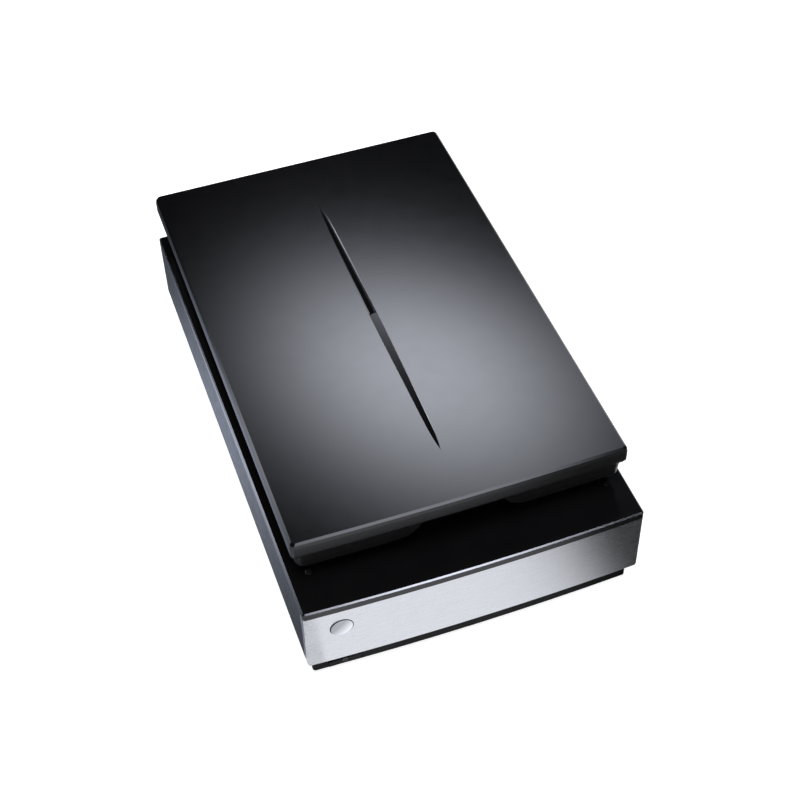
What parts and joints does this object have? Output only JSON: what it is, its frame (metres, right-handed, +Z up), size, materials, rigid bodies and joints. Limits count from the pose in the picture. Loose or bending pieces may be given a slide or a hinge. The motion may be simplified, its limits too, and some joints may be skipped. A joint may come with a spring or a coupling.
{
  "type": "flatbed scanner",
  "caption": "Flatbed photo scanner with a brushed front, a start button and a hinged lid that holds a film lamp; a belt-driven carriage scans under the glass.",
  "frame": {"origin": "on the table, under the middle of the outer box", "axes": "+Z up, -Y is the operator's side with the fascia and buttons, +Y the hinge side, +X the operator's right"},
  "size_m": [0.308, 0.503, 0.152],
  "materials": {
    "lid_gloss": "deep black piano gloss with very fine moulding grain",
    "lid_band": "black satin, finely textured",
    "deck_gloss": "black semi-gloss with a bright edge",
    "case_satin": "dark blue-grey satin",
    "tray_black": "black matte moulding",
    "fascia_brushed": "brushed from side to side",
    "bed_glass": "clear float glass, polished",
    "panel_black": "black fine-grained plate",
    "foot_rubber": "matte black",
    "pad_rubber": "black with a light sheen",
    "screw_zinc": "zinc plated",
    "button_silver": "silver satin lacquer",
    "button_black": "black gloss",
    "lock_grey": "light grey matte",
    "board_green": "green solder mask",
    "chip_black": "black epoxy",
    "led_clear": "frosted clear",
    "carriage_black": "black glass-filled moulding",
    "bush_bronze": "sintered bronze",
    "acetal_white": "white acetal",
    "guide_clear": "clear acrylic",
    "mirror_silver": "first-surface mirror",
    "barrel_black": "black anodised",
    "lens_glass": "coated lens glass",
    "rod_steel": "ground and polished",
    "plate_steel": "zinc plated sheet",
    "motor_can": "drawn steel can",
    "pinion_brass": "turned brass",
    "spring_steel": "bright wire",
    "belt_rubber": "black toothed belt",
    "socket_black": "black moulded connector",
    "socket_metal": "nickel plated shell",
    "window_opal": "opal acrylic",
    "mat_white": "white smooth pad",
    "lamp_white": "milky light guide"
  },
  "bodies": {
    "base": {"base_tray": "tray_black", "case_shell": "case_satin", "deck_frame": "deck_gloss", "document_glass": "bed_glass", "front_fascia": "fascia_brushed", "rear_panel": "panel_black", "rubber_feet": "foot_rubber", "lid_rest_pads": "pad_rubber", "case_screws": "screw_zinc", "button_switches": "board_green", "status_light": "led_clear", "guide_rod": "rod_steel", "rod_holders": "tray_black", "support_rail": "plate_steel", "drive_bracket": "plate_steel", "stepper_motor": "motor_can", "idler_bracket": "plate_steel", "tension_spring": "spring_steel", "drive_belt": "belt_rubber", "main_board": "board_green", "board_parts": "chip_black", "power_inlet": "socket_black", "usb_socket": "socket_metal", "lamp_socket": "socket_black", "post_guides": "tray_black"},
    "start_key": {"start_button": "button_silver"},
    "power_key": {"power_button": "button_black"},
    "lock_slider": {"transport_lock": "lock_grey"},
    "carriage": {"carriage_housing": "carriage_black", "carriage_bushes": "bush_bronze", "carriage_glide": "acetal_white", "carriage_cover": "carriage_black", "light_guides": "guide_clear", "led_block": "socket_black", "fold_mirrors": "mirror_silver", "lens_barrels": "barrel_black", "lens_elements": "lens_glass", "sensor_board": "board_green", "belt_clamp": "carriage_black"},
    "pinion": {"motor_pinion": "pinion_brass"},
    "drive_wheel": {"drive_gear": "acetal_white"},
    "idler_wheel": {"idler_pulley": "acetal_white"},
    "hinge_posts": {"hinge_post_left": "plate_steel", "hinge_post_right": "plate_steel"},
    "lid": {"hinge_brackets": "plate_steel", "hinge_pins": "rod_steel", "lid_cover": "lid_gloss", "lid_housing": "lid_band", "lid_window": "window_opal", "document_mat": "mat_white", "lid_screws": "screw_zinc", "lid_guide_rod": "rod_steel", "lid_mounts": "lid_band", "lid_motor": "motor_can", "lid_belt": "belt_rubber"},
    "lid_lamp": {"lamp_holder": "lock_grey", "film_lamp": "lamp_white"},
    "lid_drive_wheel": {"lid_drive_pulley": "acetal_white"},
    "lid_idler_wheel": {"lid_idler_pulley": "acetal_white"}
  },
  "joints": [
    {"name": "lid_lift", "type": "slide", "parent": "base", "child": "hinge_posts", "axis": [0, 0, 1], "range_m": [0, 0.025]},
    {"name": "lid_hinge", "type": "hinge", "parent": "hinge_posts", "child": "lid", "pos_m": [0, 0.236, 0.112], "axis": [-1, 0, 0], "range_deg": [0, 78]},
    {"name": "start_button_press", "type": "slide", "parent": "base", "child": "start_key", "axis": [0, 1, 0], "range_m": [0, 0.0012], "stiffness_N_per_m": 1500, "springref_m": -0.0005},
    {"name": "power_button_press", "type": "slide", "parent": "base", "child": "power_key", "axis": [0, 1, 0], "range_m": [0, 0.0012], "stiffness_N_per_m": 1500, "springref_m": -0.0005},
    {"name": "transport_lock_slide", "type": "slide", "parent": "base", "child": "lock_slider", "axis": [1, 0, 0], "range_m": [0, 0.008]},
    {"name": "carriage_travel", "type": "slide", "parent": "base", "child": "carriage", "axis": [0, -1, 0], "range_m": [0, 0.322]},
    {"name": "drive_gear_spin", "type": "hinge", "parent": "base", "child": "drive_wheel", "pos_m": [0.134, 0.211, 0.066], "axis": [1, 0, 0], "continuous": true},
    {"name": "motor_pinion_spin", "type": "hinge", "parent": "base", "child": "pinion", "pos_m": [0.134, 0.218, 0.04641], "axis": [1, 0, 0], "continuous": true},
    {"name": "idler_spin", "type": "hinge", "parent": "base", "child": "idler_wheel", "pos_m": [0.132, -0.216, 0.066], "axis": [1, 0, 0], "continuous": true},
    {"name": "lid_lamp_travel", "type": "slide", "parent": "lid", "child": "lid_lamp", "axis": [0, -1, 0], "range_m": [0, 0.322]},
    {"name": "lid_drive_spin", "type": "hinge", "parent": "lid", "child": "lid_drive_wheel", "pos_m": [0.128, 0.214, 0.143], "axis": [0, 0, 1], "continuous": true},
    {"name": "lid_idler_spin", "type": "hinge", "parent": "lid", "child": "lid_idler_wheel", "pos_m": [0.128, -0.196, 0.143], "axis": [0, 0, 1], "continuous": true}
  ],
  "couplings": [
    {"joint": "drive_gear_spin", "follows": "carriage_travel", "rad_per_m": -138.89},
    {"joint": "motor_pinion_spin", "follows": "carriage_travel", "rad_per_m": 462.96},
    {"joint": "idler_spin", "follows": "carriage_travel", "rad_per_m": -138.89},
    {"joint": "lid_lamp_travel", "follows": "carriage_travel", "ratio": 1},
    {"joint": "lid_drive_spin", "follows": "carriage_travel", "rad_per_m": 175.44},
    {"joint": "lid_idler_spin", "follows": "carriage_travel", "rad_per_m": 175.44}
  ]
}
